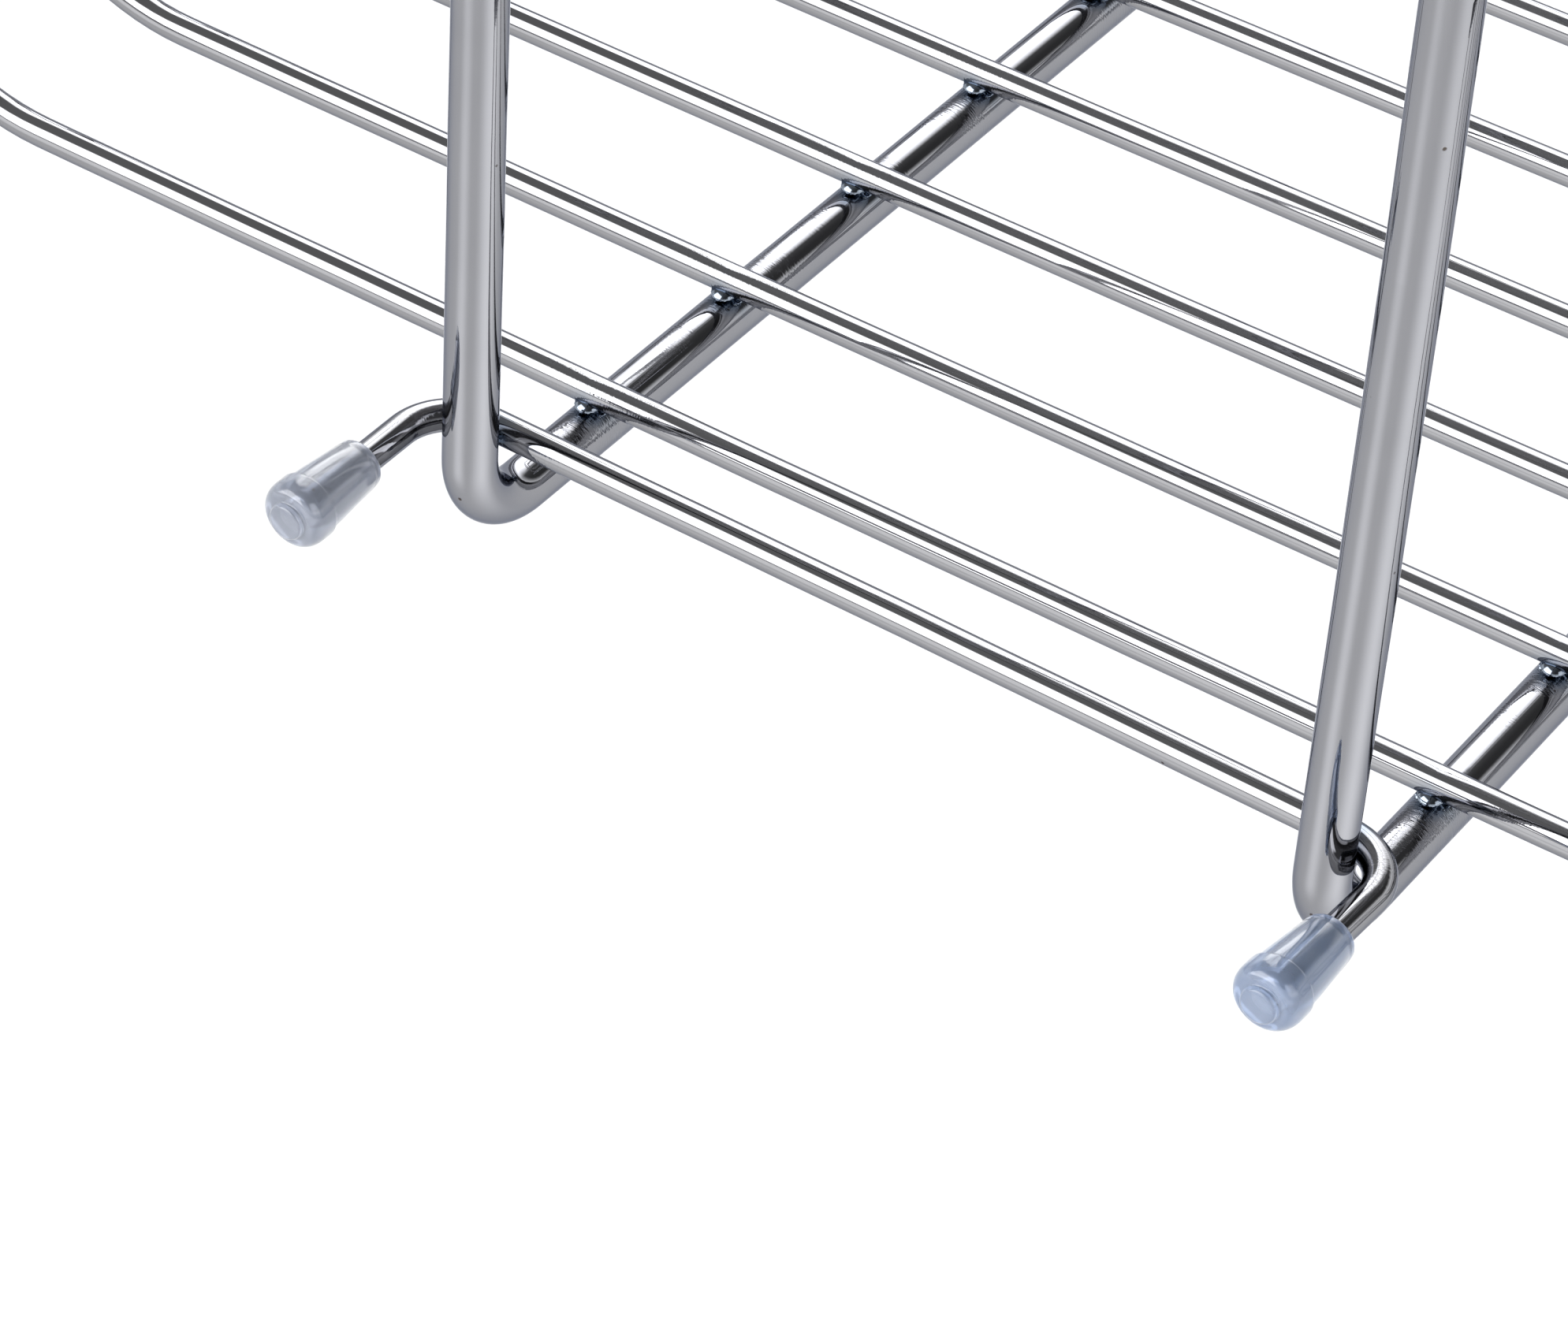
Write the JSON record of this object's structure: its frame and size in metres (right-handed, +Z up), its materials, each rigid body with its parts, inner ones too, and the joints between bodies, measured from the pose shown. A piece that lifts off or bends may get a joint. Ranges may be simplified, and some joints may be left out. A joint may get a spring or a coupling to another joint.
{
  "type": "tiered shoe rack",
  "caption": "Tiered shoe rack of chromed rod and wire that hangs on a door: basket shelves on bent uprights, strip hooks, and a stand-off wire with soft caps.",
  "frame": {"origin": "middle of the door's top edge, half way between the two hooks and under their strips", "axes": "+Z up; -Y into the room, the side the shelves are on; +Y into the door; +X to the right of a person facing the rack"},
  "size_m": [0.4416, 0.3484, 0.5959],
  "materials": {
    "rod": "bright chrome plate on bent rod",
    "wire": "bright chrome plate on drawn wire",
    "strip": "bright chrome plate on flat strip",
    "cap": "frosted clear soft vinyl"
  },
  "bodies": {
    "root": {"left_upright": "rod", "right_upright": "rod", "middle_left_arm": "rod", "middle_right_arm": "rod", "top_left_arm": "rod", "top_right_arm": "rod", "bottom_wire_1": "wire", "bottom_wire_2": "wire", "bottom_wire_3": "wire", "bottom_wire_4": "wire", "bottom_wire_5": "wire", "bottom_wire_6": "wire", "bottom_wire_7": "wire", "middle_wire_1": "wire", "middle_wire_2": "wire", "middle_wire_3": "wire", "middle_wire_4": "wire", "middle_wire_5": "wire", "middle_wire_6": "wire", "middle_wire_7": "wire", "top_wire_1": "wire", "top_wire_2": "wire", "top_wire_3": "wire", "top_wire_4": "wire", "top_wire_5": "wire", "top_wire_6": "wire", "top_wire_7": "wire", "bottom_rim": "wire", "middle_rim": "wire", "top_rim": "wire", "standoff_wire": "wire", "left_door_hook": "strip", "right_door_hook": "strip", "left_cap": "cap", "right_cap": "cap"}
  },
  "joints": []
}
